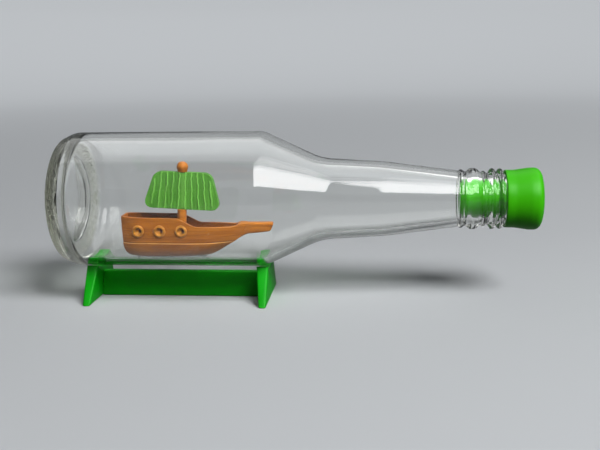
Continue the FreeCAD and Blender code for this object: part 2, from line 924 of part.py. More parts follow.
def deck():
    """The deck inside the topsides, resting on the rim of the bottom."""
    body = new_body("deck")
    gap = cell("deck_fit")
    wall = cell("topside_wall") + gap
    stern = cell("seam_stern") + cell("seam_step") + wall
    bow = cell("tub_bow") - cell("tub_rake") - gap
    sketch = boat_outline(body, "deck_outline", 0, stern, bow, cell("seam_beam") - wall,
                          cell("transom") - wall, cell("deck_nose"),
                          cell("stern_run"), cell("bow_run") - wall)
    pad(body, "deck_plate", sketch, cell("deck_thick"))
    hole = draw_circle(new_sketch(body, "deck_hole_outline", "XY_Plane"), mast_x(cell("seam")), 0,
                       cell("deck_hole"))
    pocket(body, "deck_mast_hole", hole, 3 * cell("deck_thick"), both_ways=True)
    return place_in_ship(body, 0, 0, cell("seam"))


def mast_x(level):
    """Where the raked mast is at this level above the keel."""
    slope = math.tan(math.radians(SIZES["mast_rake"]))
    rake = Size(slope, "tan(Sizes.mast_rake * 1 deg)")
    return cell("mast_place") + rake * level


def place_on_mast(body, along):
    """Place a body that is measured up the mast, and rake it with the mast."""
    angle = cell("mast_rake")
    body.Placement = Placement(Vector(0, 0, 0), Rotation(Vector(0, 1, 0), angle.value))
    bind(body, "Placement.Rotation.Angle", angle)
    radians = math.radians(angle.value)
    sine = Size(math.sin(radians), "sin(Sizes.mast_rake * 1 deg)")
    cosine = Size(math.cos(radians), "cos(Sizes.mast_rake * 1 deg)")
    along = as_size(along)
    return place_in_ship(body, cell("mast_place") + sine * along, 0, cosine * along)


def mast_step():
    """The block in the bottom of the hull that holds the foot of the mast."""
    body = new_body("mast_step")
    disc = draw_circle(new_sketch(body, "step_outline", "XY_Plane"), 0, 0, cell("step_radius"))
    pad(body, "step_block", disc, cell("step_thick"))
    socket = draw_circle(new_sketch(body, "step_socket_outline", "XY_Plane", cell("step_floor")), 0, 0,
                         cell("mast_radius") + cell("step_fit"))
    pocket(body, "step_socket", socket, cell("step_thick"), reverse=True)
    return place_on_mast(body, cell("mast_foot"))


def mast():
    """The mast: a stout lower part with a shoulder, and the spindle that the sail turns on."""
    body = new_body("mast")
    foot = cell("mast_foot") + cell("step_floor")
    shoulder = cell("sail_foot") - cell("sail_play")
    top = ball_seat() + cell("ball_neck") + cell("ball_socket")
    sketch = outline(body, "mast_profile", "YZ_Plane", [
        (0, 0),
        (cell("mast_radius"), 0),
        (cell("mast_radius"), shoulder - foot),
        (cell("spindle_radius"), shoulder - foot),
        (cell("spindle_radius"), top - foot),
        (0, top - foot),
    ])
    turned(body, "mast_turned", sketch, "V_Axis")
    return place_on_mast(body, foot)


def ball_seat():
    """Where the ball's neck starts, up the mast: just clear of the sail."""
    return cell("sail_foot") + cell("sail_height") + cell("sail_play")


def mast_ball():
    """The ball on top of the mast, with the short neck that keeps the sail on."""
    body = new_body("mast_ball")
    radius = cell("ball_radius")
    neck = cell("ball_neck_radius")
    spindle = cell("spindle_radius")
    fall = root(radius * radius - neck * neck)
    socket = cell("ball_neck") + cell("ball_socket")
    base = cell("ball_neck") + fall
    sketch = outline(body, "ball_profile", "YZ_Plane", [
        (0, socket),
        (spindle, socket),
        (spindle, 0),
        (neck, 0),
        (neck, cell("ball_neck")),
        (radius, base, radius, 1),
        (0, base + radius, radius, 1),
    ])
    turned(body, "ball_turned", sketch, "V_Axis")
    return place_on_mast(body, ball_seat())


# ---------------------------------------------------------------- sail

def sail():
    """A thick moulded sail with raised ribs, bored from foot to head for the spindle."""
    body = new_body("sail")
    height = cell("sail_height")
    foot = cell("sail_foot_half")
    head = cell("sail_head_half")
    shift = cell("sail_head_shift")
    cloth = outline(body, "sail_outline", "XZ_Plane",
                    [(foot, 0), (head + shift, height), (shift - head, height), (-foot, 0)])
    pad(body, "sail_cloth", cloth, cell("sail_thick"), both_ways=True)
    rounded(body, "sail_foot_corners", cell("sail_foot_round"), lambda e: is_corner(e, 0))
    rounded(body, "sail_head_corners", cell("sail_head_round"), lambda e: is_corner(e, height.value))
    chamfered(body, "sail_edges", cell("sail_edge_bevel"), is_sail_edge)
    ribs = new_sketch(body, "rib_outlines", "XZ_Plane")
    for i in range(RIBS):
        draw_rib(ribs, i - LAST_RIB)
    pad(body, "sail_ribs", ribs, cell("sail_thick") + 2 * cell("rib_proud"), both_ways=True)
    bore = draw_circle(new_sketch(body, "sail_bore_outline", "XY_Plane"), 0, 0,
                       cell("spindle_radius") + cell("sail_fit"))
    pocket(body, "sail_bore", bore, 3 * height, both_ways=True)
    return place_on_mast(body, cell("sail_foot"))


def draw_rib(sketch, number):
    """One raised rib, by its place from the mast; the end ones are short of the round corners."""
    low = cell("rib_margin")
    high = cell("sail_height") - cell("rib_margin")
    foot = number * cell("rib_foot_pitch")
    head = number * cell("rib_head_pitch")
    if abs(number) == LAST_RIB:
        low = cell("end_rib_low")
        high = cell("end_rib_high")
    half = cell("rib_width") / 2
    draw_outline(sketch, [(foot + half, low), (head + half, high), (head - half, high),
                          (foot - half, low)])


def is_corner(edge, z):
    """The short edges through the sail at the two corners of its foot or head."""
    ends = ends_of(edge)
    if ends is None:
        return False
    first, last = ends
    across = abs(first.z - last.z) < NEAR and abs(first.x - last.x) < NEAR
    return across and abs(first.z - z) < NEAR


def is_sail_edge(edge):
    """Every edge that goes round the outline of either face."""
    ends = ends_of(edge)
    return ends is not None and abs(ends[0].y - ends[1].y) < NEAR


# ---------------------------------------------------------------- adhesive

def keel_bed():
    """The strip of clear adhesive that fills the space between the keel and the round glass."""
    body = new_body("keel_bed")
    inner = cell("body_radius") - cell("glass_wall")
    axis = cell("axis_height") - cell("keel_height")
    half = cell("bed_half")
    fall = root(inner * inner - half * half)
    sketch = outline(body, "bed_section", "YZ_Plane", [
        (half, 0),
        (-half, 0),
        (-half, axis - fall),
        (half, axis - fall, inner, 1),
    ])
    pad(body, "bed_strip", sketch, cell("bed_length"))
    return place_in_ship(body, cell("bed_start"))


# ---------------------------------------------------------------- the whole object

def build():
    fill_sheet()
    pieces = [
        bottle(),
        stopper(),
        cradle("cradle_left", cell("cradle_left_place"), 1),
        cradle("cradle_right", cell("cradle_right_place"), -1),
        stretcher(),
        hull_bottom(),
        hull_topsides(),
        deck(),
        mast_step(),
        mast(),
        mast_ball(),
        sail(),
        keel_bed(),
    ]
    for side, hand in ((1, "port"), (-1, "starboard")):
        for number in range(PORTHOLES_PER_SIDE):
            pieces.append(porthole(f"porthole_{hand}_{number + 1}", side, number))
    return pieces


def check(pieces):
    """Stop if any feature failed, or any piece isn't one sound solid."""
    doc.recompute()
    for thing in doc.Objects:
        if "Invalid" in thing.State or "Error" in thing.State:
            raise ValueError(f"{thing.Name} failed")
    for piece in pieces:
        shape = piece.Shape
        if shape.isNull() or not shape.isValid() or len(shape.Solids) != 1:
            raise ValueError(f"{piece.Label} is not a sound solid")


def export(pieces):
    os.makedirs("parts", exist_ok=True)
    for piece in pieces:
        piece.Shape.exportStep(f"parts/{piece.Label}.step")


all_pieces = build()
check(all_pieces)
export(all_pieces)
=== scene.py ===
"""Ship in a bottle: the finish of every surface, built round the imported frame.

Metres, in the frame's own axes: X along the bottle towards its mouth, Y across it and Z up.
Sizes are written in millimetres and multiplied by MM. The half sections of turned pieces stay
in millimetres until they are drawn.
"""
import math

import bpy
from mathutils import Matrix, Quaternion, Vector


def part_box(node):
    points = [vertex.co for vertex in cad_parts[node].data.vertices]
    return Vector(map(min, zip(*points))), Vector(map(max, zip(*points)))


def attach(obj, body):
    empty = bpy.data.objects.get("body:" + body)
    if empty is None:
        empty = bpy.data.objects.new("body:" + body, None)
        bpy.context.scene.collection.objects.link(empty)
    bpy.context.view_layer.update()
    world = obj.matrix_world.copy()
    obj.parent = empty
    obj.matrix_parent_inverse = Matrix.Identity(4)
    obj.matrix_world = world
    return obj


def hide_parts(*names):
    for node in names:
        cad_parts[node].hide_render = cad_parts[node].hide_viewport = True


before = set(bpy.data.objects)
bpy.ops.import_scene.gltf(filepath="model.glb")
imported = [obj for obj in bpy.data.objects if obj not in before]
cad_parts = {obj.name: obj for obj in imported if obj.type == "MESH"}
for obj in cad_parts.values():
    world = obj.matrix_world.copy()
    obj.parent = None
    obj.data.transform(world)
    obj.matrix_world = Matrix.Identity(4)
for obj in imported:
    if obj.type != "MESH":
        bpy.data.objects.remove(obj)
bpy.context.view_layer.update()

MM = 0.001
FULL_TURN = 2 * math.pi

# ---------------------------------------------------------------- places, read from the frame

BOTTLE_LOW, BOTTLE_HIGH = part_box("bottle")
BASE = BOTTLE_LOW.x
AXIS_HEIGHT = (BOTTLE_LOW.z + BOTTLE_HIGH.z) / 2
LIP = BOTTLE_HIGH.x
LEFT_FOOT = BASE + 14.0 * MM
RIGHT_FOOT = BASE + 93.9 * MM

SHIP_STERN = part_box("hull_topsides")[0].x
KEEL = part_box("hull_bottom")[0].z
SEAM = KEEL + 7.2 * MM
RAKE = math.radians(3.0)
MAST_FOOT = Vector((SHIP_STERN + 26.5 * MM, 0, KEEL))


# ---------------------------------------------------------------- modelling by hand

def put_down():
    """Leave edit mode with nothing selected."""
    if bpy.context.mode != "OBJECT":
        bpy.ops.object.mode_set(mode="OBJECT")
    bpy.ops.object.select_all(action="DESELECT")


def pick_up(*pieces):
    """Select only these pieces; the first is the active one."""
    put_down()
    for piece in pieces:
        piece.select_set(True)
    bpy.context.view_layer.objects.active = pieces[0]


def named(name):
    """Name the piece that was just added, and its mesh."""
    piece = bpy.context.object
    piece.name = name
    piece.data.name = name
    return piece


def middle(mesh, part):
    """The middle of a vertex, edge or face."""
    if hasattr(part, "co"):
        return part.co
    corners = [mesh.vertices[i].co for i in part.vertices]
    return sum(corners, Vector()) / len(corners)


def edit(piece, kind="VERT", chosen=lambda place: True):
    """Go into edit mode with only what `chosen` picks by its place selected."""
    pick_up(piece)
    bpy.ops.object.mode_set(mode="EDIT")
    bpy.ops.mesh.select_mode(type=kind)
    bpy.ops.mesh.select_all(action="DESELECT")
    bpy.ops.object.mode_set(mode="OBJECT")
    mesh = piece.data
    parts = {"VERT": mesh.vertices, "EDGE": mesh.edges, "FACE": mesh.polygons}[kind]
    for part in parts:
        part.select = chosen(middle(mesh, part))
    bpy.ops.object.mode_set(mode="EDIT")


def finish_edit():
    bpy.ops.object.mode_set(mode="OBJECT")


def modify(piece, kind, **settings):
    """Add a modifier with these settings and apply it."""
    pick_up(piece)
    modifier = piece.modifiers.new(kind.lower(), kind)
    for field, value in settings.items():
        setattr(modifier, field, value)
    bpy.ops.object.modifier_apply(modifier=modifier.name)


def soften(piece, voxel, passes):
    """Make one even skin of a piece and rub its edges soft."""
    modify(piece, "REMESH", mode="VOXEL", voxel_size=voxel, adaptivity=0.0)
    modify(piece, "SMOOTH", factor=0.5, iterations=passes)


def apply_place(piece):
    """Put the piece's place, turn and size into its mesh."""
    pick_up(piece)
    bpy.ops.object.transform_apply(location=True, rotation=True, scale=True)


def smooth(piece, degrees):
    """Shade smooth, apart from the edges that turn by more than this."""
    pick_up(piece)
    bpy.ops.object.shade_smooth_by_angle(angle=math.radians(degrees))


def join(*pieces):
    """Make one piece of several; it keeps the first one's name."""
    pick_up(*pieces)
    bpy.ops.object.join()
    return pieces[0]


def arc_points(start, corner, end, radius):
    """The points of the arc that rounds a corner between two straight runs."""
    steps = 8
    back = (start - corner).normalized()
    onward = (end - corner).normalized()
    half = back.angle(onward) / 2
    centre = corner + (back + onward).normalized() * radius / math.sin(half)
    first = corner + back * radius / math.tan(half) - centre
    last = corner + onward * radius / math.tan(half) - centre
    turn = first.angle_signed(last)
    return [centre + Matrix.Rotation(-turn * i / steps, 2) @ first for i in range(steps + 1)]


def half_section(corners):
    """A half section's points from corners (x, r); a corner (x, r, radius) is rounded."""
    places = [Vector(corner[:2]) for corner in corners]
    points = []
    for i, corner in enumerate(corners):
        if len(corner) == 2:
            points.append(places[i])
        else:
            points += arc_points(places[i - 1], places[i], places[i + 1], corner[2])
    return points


def evenly(points, longest):
    """Divide the long runs of a half section so that no piece is longer than this."""
    divided = [points[0]]
    for start, end in zip(points, points[1:]):
        count = max(1, math.ceil((end - start).length / longest))
        divided += [start.lerp(end, i / count) for i in range(1, count + 1)]
    return divided


def lathe(name, points, turns):
    """Draw a half section by extruding one point along it, and spin it round the X axis."""
    put_down()
    bpy.ops.mesh.primitive_plane_add(size=MM)
    piece = named(name)
    bpy.ops.object.mode_set(mode="EDIT")
    bpy.ops.mesh.select_mode(type="VERT")
    bpy.ops.mesh.select_all(action="SELECT")
    bpy.ops.mesh.merge(type="CENTER")
    here = Vector((0, 0))
    for number, point in enumerate(points):
        step = (point - here) * MM
        move = {"value": (step.x, 0, step.y)}
        if number:
            bpy.ops.mesh.extrude_region_move(TRANSFORM_OT_translate=move)
        else:
            bpy.ops.transform.translate(**move)
        here = point
    bpy.ops.mesh.select_all(action="SELECT")
    bpy.ops.mesh.spin(steps=turns, angle=FULL_TURN, center=(0, 0, 0), axis=(1, 0, 0))
    bpy.ops.mesh.select_all(action="SELECT")
    bpy.ops.mesh.remove_doubles(threshold=0.001 * MM)
    bpy.ops.mesh.normals_make_consistent(inside=False)
    finish_edit()
    return piece


def set_along(piece, start, turn=0.0):
    """Move a piece that was drawn at the origin to its place, turned about Y."""
    piece.location = start
    piece.rotation_euler = (0, turn, 0)
    apply_place(piece)


def belongs(piece, body, slot, *nodes):
    """The piece rides on a body and stands for these nodes, which it hides; the slot is not used.
    """
    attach(piece, body)
    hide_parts(*nodes)


def finished_in(piece, material):
    piece.data.materials.clear()
    piece.data.materials.append(material)


# ---------------------------------------------------------------- shader node helpers

def new_material(name):
    """A material with only a Principled shader and its output."""
    material = bpy.data.materials.new(name)
    material.use_nodes = True
    tree = material.node_tree
    tree.nodes.clear()
    output = tree.nodes.new("ShaderNodeOutputMaterial")
    shader = tree.nodes.new("ShaderNodeBsdfPrincipled")
    tree.links.new(shader.outputs["BSDF"], output.inputs["Surface"])
    return material, tree, shader


def new_group(name, inputs, outputs):
    """An empty shader group; inputs and outputs are (name, kind, default)."""
    group = bpy.data.node_groups.new(name, "ShaderNodeTree")
    for way, sockets in (("INPUT", inputs), ("OUTPUT", outputs)):
        for label, kind, default in sockets:
            socket = group.interface.new_socket(label, in_out=way,
                                                socket_type=f"NodeSocket{kind}")
            if default is not None:
                socket.default_value = default
    return group, group.nodes.new("NodeGroupInput"), group.nodes.new("NodeGroupOutput")


def place_group(tree, group, where, **values):
    """Use a group in a material, at these coordinates and with its own values."""
    node = tree.nodes.new("ShaderNodeGroup")
    node.node_tree = group
    tree.links.new(where, node.inputs["Place"])
    for label, value in values.items():
        node.inputs[label].default_value = value
    return node


def feed(tree, socket, value):
    """Link a socket to another one, or set it to a plain value."""
    if isinstance(value, bpy.types.NodeSocket):
        tree.links.new(value, socket)
    else:
        socket.default_value = value


def noise(tree, where, scale, detail=3.0, roughness=0.5, distortion=0.0):
    node = tree.nodes.new("ShaderNodeTexNoise")
    node.inputs["Detail"].default_value = detail
    node.inputs["Roughness"].default_value = roughness
    feed(tree, node.inputs["Scale"], scale)
    feed(tree, node.inputs["Distortion"], distortion)
    tree.links.new(where, node.inputs["Vector"])
    return node.outputs["Fac"]


def stretched(tree, where, stretch):
    """The coordinates, drawn out along some of the axes."""
    node = tree.nodes.new("ShaderNodeMapping")
    node.inputs["Scale"].default_value = stretch
    tree.links.new(where, node.inputs["Vector"])
    return node.outputs["Vector"]


def apart(tree, vector):
    """The X, Y and Z of a vector."""
    node = tree.nodes.new("ShaderNodeSeparateXYZ")
    tree.links.new(vector, node.inputs["Vector"])
    return node.outputs


def computed(tree, operation, first, second=0.0):
    """A Math node over two values, each a socket or a number."""
    node = tree.nodes.new("ShaderNodeMath")
    node.operation = operation
    feed(tree, node.inputs[0], first)
    feed(tree, node.inputs[1], second)
    return node.outputs[0]


def ranged(tree, value, low, high, to_low, to_high):
    """A value mapped from one range to another, and held inside it."""
    node = tree.nodes.new("ShaderNodeMapRange")
    tree.links.new(value, node.inputs["Value"])
    for label, limit in (("From Min", low), ("From Max", high),
                         ("To Min", to_low), ("To Max", to_high)):
        feed(tree, node.inputs[label], limit)
    return node.outputs["Result"]


def mixed(tree, share, first, second, blend="MIX"):
    """A colour mix; the colours are sockets or plain colours."""
    factor, colour_a, colour_b, mixed_colour = 0, 6, 7, 2
    node = tree.nodes.new("ShaderNodeMix")
    node.data_type = "RGBA"
    node.blend_type = blend
    feed(tree, node.inputs[factor], share)
    feed(tree, node.inputs[colour_a], first)
    feed(tree, node.inputs[colour_b], second)
    return node.outputs[mixed_colour]


def bumped(tree, shader, height, distance):
    node = tree.nodes.new("ShaderNodeBump")
    node.inputs["Distance"].default_value = distance
    node.inputs["Strength"].default_value = 1.0
    tree.links.new(height, node.inputs["Height"])
    tree.links.new(node.outputs["Normal"], shader.inputs["Normal"])


def coordinates(tree):
    return tree.nodes.new("ShaderNodeTexCoord").outputs["Object"]


# ---------------------------------------------------------------- shared effects

def moulded_plastic_group():
    """Cast plastic: soft mottling, pale edges of wear and painted highlight, uneven sheen, fine
    pitting.
    """
    group, given, out = new_group(
        "moulded_plastic",
        [("Place", "Vector", None), ("Colour", "Color", (0.5, 0.5, 0.5, 1)),
         ("Mottle", "Float", 0.12), ("Rubbed", "Float", 0.3), ("Roughness", "Float", 0.4)],
        [("Colour", "Color", None), ("Roughness", "Float", None), ("Height", "Float", None)])
    place = given.outputs["Place"]
    cloud = noise(group, place, scale=140.0, detail=4.0)
    pits = noise(group, place, scale=2600.0, detail=2.0, roughness=0.6)
    darkest = computed(group, "SUBTRACT", 1.0, given.outputs["Mottle"])
    shade = ranged(group, cloud, 0.3, 0.7, darkest, 1.0)
    tone = group.nodes.new("ShaderNodeCombineColor")
    for channel in tone.inputs:
        group.links.new(shade, channel)
    toned = mixed(group, 1.0, given.outputs["Colour"], tone.outputs["Color"], "MULTIPLY")
    # Pale edges where the form is sharpest: partly wear, partly a painted highlight on ridges and
    # rims.
    edge = group.nodes.new("ShaderNodeNewGeometry").outputs["Pointiness"]
    worn_and_highlit = ranged(group, edge, 0.53, 0.63, 0.0, given.outputs["Rubbed"])
    pale = mixed(group, 0.5, toned, (0.9, 0.85, 0.5, 1))
    group.links.new(mixed(group, worn_and_highlit, toned, pale), out.inputs["Colour"])
    gloss = ranged(group, cloud, 0.3, 0.7, -0.05, 0.05)
    fine = ranged(group, pits, 0.3, 0.7, -0.04, 0.04)
    rough = computed(group, "ADD", given.outputs["Roughness"], computed(group, "ADD", gloss, fine))
    group.links.new(rough, out.inputs["Roughness"])
    height = computed(group, "ADD", computed(group, "MULTIPLY", cloud, 1.5), pits)
    group.links.new(height, out.inputs["Height"])
    return group


def level_grain_group():
    """Fine level lines and longer streaks, as drawn or printed round a small moulded hull."""
    group, given, out = new_group(
        "level_grain",
        [("Place", "Vector", None), ("Pitch", "Float", 900.0), ("Waver", "Float", 0.2)],
        [("Lines", "Float", None), ("Streaks", "Float", None)])
    place = given.outputs["Place"]
    lines = noise(group, stretched(group, place, (0.04, 0.04, 1.0)),
                  scale=given.outputs["Pitch"], distortion=given.outputs["Waver"])
    streaks = noise(group, stretched(group, place, (0.12, 0.12, 1.0)),
                    scale=380.0, detail=4.0, roughness=0.6)
    group.links.new(lines, out.inputs["Lines"])
    group.links.new(streaks, out.inputs["Streaks"])
    return group


MOULDED = moulded_plastic_group()
GRAIN = level_grain_group()


# ---------------------------------------------------------------- materials

PLASTIC_IOR = 1.49
PLASTIC_SHINE = 0.2
SAIL_HALF_THICK = 1.5


def heel_mask(tree, place):
    """A mask of the bottle's heel: next to the base, and outside the dish in its middle."""
    squares = [computed(tree, "POWER", computed(tree, "SUBTRACT", place[side], centre), 2.0)
               for side, centre in (("Y", 0.0), ("Z", AXIS_HEIGHT))]
    from_axis = computed(tree, "SQRT", computed(tree, "ADD", *squares))
    near_base = ranged(tree, place["X"], BASE + 4.5 * MM, BASE + 6.5 * MM, 1.0, 0.0)
    past_dish = ranged(tree, from_axis, 20 * MM, 23 * MM, 0.0, 1.0)
    return computed(tree, "MULTIPLY", near_base, past_dish)


def glass_shadow(tree, place):
    """What passes from the lamps: least through the slanted edges, and less in the neck."""
    body, thick_neck, edges = (0.92, 0.93, 0.92, 1), (0.72, 0.74, 0.72, 1), (0.15, 0.17, 0.15, 1)
    clear = tree.nodes.new("ShaderNodeBsdfTransparent")
    slant = tree.nodes.new("ShaderNodeLayerWeight")
    slant.inputs["Blend"].default_value = 0.5
    blocked = ranged(tree, slant.outputs["Facing"], 0.25, 0.5, 0.0, 1.0)
    neck = ranged(tree, place["X"], BASE + 100 * MM, BASE + 125 * MM, 0.0, 1.0)
    through = mixed(tree, neck, body, thick_neck)
    tree.links.new(mixed(tree, blocked, through, edges), clear.inputs["Color"])
    return clear.outputs["BSDF"]


def bottle_glass():
    """Clear glass, grey-green through its thickness, wavy in the wall and stippled at the heel."""
    plain, grit_painted_dark, grit_painted_pale = (0.995, 1.0, 0.995, 1), (0.62, 0.66, 0.46, 1), (1.0, 1.0, 0.86, 1)
    stipple_over_waves = 4.0
    material, tree, glass = new_material("bottle_glass")
    output = tree.get_output_node("ALL")
    glass.inputs["IOR"].default_value = 1.5
    glass.inputs["Transmission Weight"].default_value = 1.0
    where = coordinates(tree)
    place = apart(tree, where)
    heel = heel_mask(tree, place)
    waves = noise(tree, stretched(tree, where, (0.35, 1.0, 1.0)), scale=55.0, detail=1.0)
    grit = noise(tree, stretched(tree, where, (1.4, 0.9, 0.9)),
                 scale=680.0, detail=2.0, roughness=0.6)
    frost = ranged(tree, grit, 0.4, 0.6, 0.05, 0.25)
    tree.links.new(computed(tree, "MULTIPLY", heel, frost), glass.inputs["Roughness"])
    # Painted light and shade: darker and paler spots in the heel's tint, for the sparkle of its
    # stippling.
    heel_painted_specks = mixed(tree, ranged(tree, grit, 0.42, 0.5, 0.0, 1.0), grit_painted_dark, grit_painted_pale)
    tree.links.new(mixed(tree, heel, plain, heel_painted_specks), glass.inputs["Base Color"])
    stipple = computed(tree, "MULTIPLY", grit,
                       computed(tree, "MULTIPLY", heel, stipple_over_waves))
    bumped(tree, glass, computed(tree, "ADD", waves, stipple), 0.25 * MM)
    tint = tree.nodes.new("ShaderNodeVolumeAbsorption")
    tint.inputs["Color"].default_value = (0.78, 0.80, 0.56, 1)
    tint.inputs["Density"].default_value = 8.0
    tree.links.new(tint.outputs["Volume"], output.inputs["Volume"])
    rays = tree.nodes.new("ShaderNodeLightPath")
    both = tree.nodes.new("ShaderNodeMixShader")
    tree.links.new(rays.outputs["Is Shadow Ray"], both.inputs["Fac"])
    tree.links.new(glass.outputs["BSDF"], both.inputs[1])
    tree.links.new(glass_shadow(tree, place), both.inputs[2])
    tree.links.new(both.outputs["Shader"], output.inputs["Surface"])
    return material


def clear_adhesive():
    """Set clear adhesive under the keel, a little cloudy."""
    material, tree, shader = new_material("clear_adhesive")
    shader.inputs["IOR"].default_value = 1.48
    shader.inputs["Transmission Weight"].default_value = 1.0
    cloud = noise(tree, coordinates(tree), scale=700.0)
    tree.links.new(ranged(tree, cloud, 0.3, 0.7, 0.0, 0.08), shader.inputs["Roughness"])
    tone = mixed(tree, cloud, (0.93, 0.93, 0.90, 1), (0.99, 0.99, 0.98, 1))
    tree.links.new(tone, shader.inputs["Base Color"])
    bumped(tree, shader, cloud, 0.05 * MM)
    return material


def finish_plastic(tree, shader, group, height, depth):
    """Lead a moulded_plastic group into the shader, with this relief."""
    tree.links.new(group.outputs["Colour"], shader.inputs["Base Color"])
    tree.links.new(group.outputs["Roughness"], shader.inputs["Roughness"])
    shader.inputs["IOR"].default_value = PLASTIC_IOR
    shader.inputs["Specular IOR Level"].default_value = PLASTIC_SHINE
    bumped(tree, shader, height, depth)


def plastic(name, colour, mottle, rubbed_and_highlit, roughness, pitting):
    """A moulded plastic in one colour."""
    material, tree, shader = new_material(name)
    group = place_group(tree, MOULDED, coordinates(tree), Colour=(*colour, 1), Mottle=mottle,
                        Rubbed=rubbed_and_highlit, Roughness=roughness)
    finish_plastic(tree, shader, group, group.outputs["Height"], pitting)
    return material


def tub_inside_painted_shade(tree, where):
    """A mask of the walls that face the ship's middle line, for the painted shade inside the tub.
    """
    facing = tree.nodes.new("ShaderNodeTexCoord").outputs["Normal"]
    inward = computed(tree, "MULTIPLY", apart(tree, where)["Y"], apart(tree, facing)["Y"])
    return ranged(tree, inward, -0.2 * MM, -1.5 * MM, 0.0, 0.8)


def ship_plastic(name, light, dark):
    """Orange-brown plastic, level grain lines and streaks, and painted shade low down and inside.
    """
    # Painted shade colours for the hull low down and for the inside of the tub.
    low_hull_painted_shade, inside = (0.20, 0.055, 0.004, 1), (0.13, 0.03, 0.002, 1)
    # A painted highlight line just below the seam and a painted shadow line above it.
    seam_painted_highlight_and_shadow = ((SEAM - 0.12 * MM, (0.85, 0.42, 0.10, 1)),
                  (SEAM + 0.30 * MM, (0.16, 0.04, 0.003, 1)))
    material, tree, shader = new_material(name)
    where = coordinates(tree)
    grain = place_group(tree, GRAIN, where, Pitch=1500.0, Waver=0.3)
    group = place_group(tree, MOULDED, where, Mottle=0.12, Rubbed=0.4, Roughness=0.42)
    lines = computed(tree, "SUBTRACT", grain.outputs["Lines"], 0.5)
    streaks = computed(tree, "ADD", grain.outputs["Streaks"],
                       computed(tree, "MULTIPLY", lines, 0.9))
    base = mixed(tree, ranged(tree, streaks, 0.32, 0.72, 0.0, 1.0), (*light, 1), (*dark, 1))
    height = apart(tree, where)["Z"]
    # Painted shade: the hull darkens from the seam down towards the keel.
    base = mixed(tree, ranged(tree, height, SEAM, KEEL, 0.0, 0.55), base, low_hull_painted_shade)
    for level, colour in seam_painted_highlight_and_shadow:
        off = computed(tree, "ABSOLUTE", computed(tree, "SUBTRACT", height, level))
        line = ranged(tree, off, 0.12 * MM, 0.24 * MM, 0.75, 0.0)
        base = mixed(tree, line, base, colour)
    # Painted shade on the walls inside the tub.
    base = mixed(tree, tub_inside_painted_shade(tree, where), base, inside)
    tree.links.new(base, group.inputs["Colour"])
    relief = computed(tree, "ADD", computed(tree, "MULTIPLY", grain.outputs["Lines"], 2.6),
                      group.outputs["Height"])
    finish_plastic(tree, shader, group, relief, 0.05 * MM)
    return material


def sail_plastic():
    """Soft green plastic, finely fluted down the sail; painted shade in the flutes, painted
    highlight on ribs.
    """
    dark, light, rib = (0.06, 0.255, 0.018, 1), (0.115, 0.37, 0.042, 1), (0.18, 0.49, 0.075, 1)
    material, tree, shader = new_material("sail_green")
    where = coordinates(tree)
    flutes = noise(tree, stretched(tree, where, (1.0, 1.0, 0.05)),
                   scale=750.0, detail=2.0, roughness=0.6)
    group = place_group(tree, MOULDED, where, Mottle=0.10, Rubbed=0.5, Roughness=0.46)
    # Painted shade: lighter and darker stripes that follow the fluted relief.
    cloth_painted_flute_shade = mixed(tree, ranged(tree, flutes, 0.32, 0.68, 0.0, 1.0), dark, light)
    # Painted highlight: the rib colour where the surface stands proud of the slab's faces.
    off_middle = computed(tree, "ABSOLUTE", apart(tree, where)["Y"])
    crest_painted_highlight = ranged(tree, off_middle, (SAIL_HALF_THICK + 0.08) * MM,
                   (SAIL_HALF_THICK + 0.3) * MM, 0.0, 1.0)
    tree.links.new(mixed(tree, crest_painted_highlight, cloth_painted_flute_shade, rib), group.inputs["Colour"])
    relief = computed(tree, "ADD", computed(tree, "MULTIPLY", flutes, 6.0),
                      group.outputs["Height"])
    finish_plastic(tree, shader, group, relief, 0.03 * MM)
    return material


GLASS = bottle_glass()
ADHESIVE = clear_adhesive()
SHIP_BROWN = ship_plastic("ship_brown", light=(0.56, 0.185, 0.012), dark=(0.37, 0.104, 0.005))
# The rings' lighter copy of the ship's brown is painted light: they catch more of the lamp than the
# hull side.
RING_BROWN_PAINTED_LIGHT = ship_plastic("ring_brown_painted_light", light=(0.66, 0.27, 0.03), dark=(0.48, 0.17, 0.012))
STOPPER_GREEN = plastic("stopper_green", (0.05, 0.5, 0.002), mottle=0.05, rubbed_and_highlit=0.1,
                        roughness=0.36, pitting=0.01 * MM)
STAND_GREEN = plastic("stand_green", (0.003, 0.42, 0.006), mottle=0.10, rubbed_and_highlit=0.12,
                      roughness=0.42, pitting=0.014 * MM)
SAIL_GREEN = sail_plastic()


# ---------------------------------------------------------------- bottle

BODY_RADIUS = 30.5
WALL = 2.9
LENGTH = (LIP - BASE) / MM


def finish_ring(back, width, crown, radius, root, round_to):
    """One ring of the mouth as corners, back from the lip; root is the groove beside it."""
    start = LENGTH - back
    flank = (width - crown) / 2
    return [
        (start, root, 0.25),
        (start + flank, radius, round_to),
        (start + width - flank, radius, round_to),
        (start + width, root, 0.25),
    ]


def dish(rim_x, rim, middle_x):
    """A shallow round dish from the middle of an end, at middle_x, to its rim."""
    steps = 10
    rise = middle_x - rim_x
    radius = (rim * rim + rise * rise) / (2 * rise)
    reach = math.asin(rim / abs(radius))
    turns = [reach * i / steps for i in range(steps + 1)]
    centre = middle_x - radius
    return [(centre + radius * math.cos(turn), abs(radius) * math.sin(turn)) for turn in turns]


